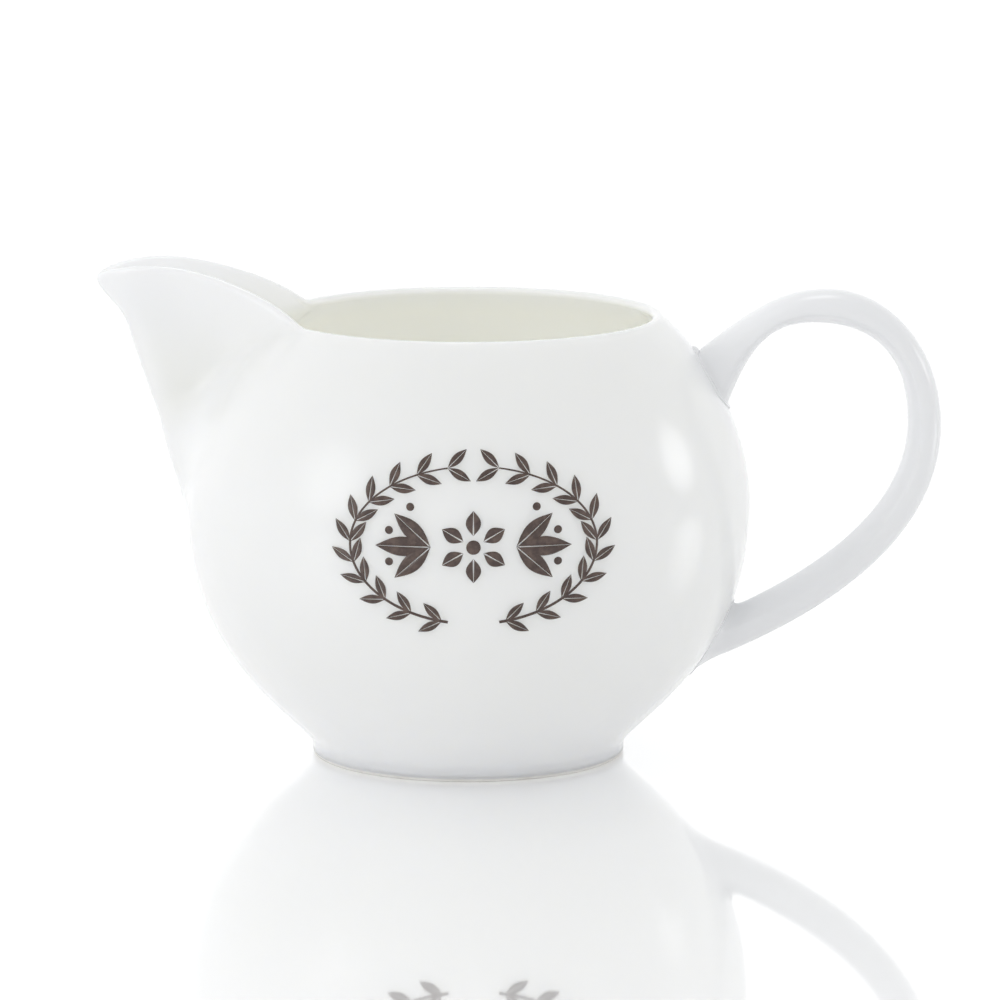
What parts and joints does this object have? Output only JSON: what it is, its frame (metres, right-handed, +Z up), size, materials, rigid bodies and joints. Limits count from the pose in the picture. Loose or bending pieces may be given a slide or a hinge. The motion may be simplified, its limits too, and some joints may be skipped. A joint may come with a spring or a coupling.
{
  "type": "cream jug",
  "caption": "Small globe-shaped porcelain cream jug on a low foot ring, with a raised beak spout, an open loop handle and a printed wreath of leaves on the front.",
  "frame": {"origin": "centre of the foot ring, on the surface the jug stands on", "axes": "+Z up along the bowl's axis, +X from the bowl's axis towards the handle with the spout on -X, -Y the printed front"},
  "size_m": [0.1307, 0.0877, 0.0769],
  "materials": {
    "white_glaze": "gloss",
    "bare_foot": "satin",
    "print_ink": "gloss"
  },
  "bodies": {
    "root": {"bowl": "white_glaze", "foot_ring": "bare_foot", "spout": "white_glaze", "handle": "white_glaze", "handle_upper_root": "white_glaze", "handle_lower_root": "white_glaze", "print_wreath": "print_ink", "print_sprig": "print_ink"}
  },
  "joints": []
}
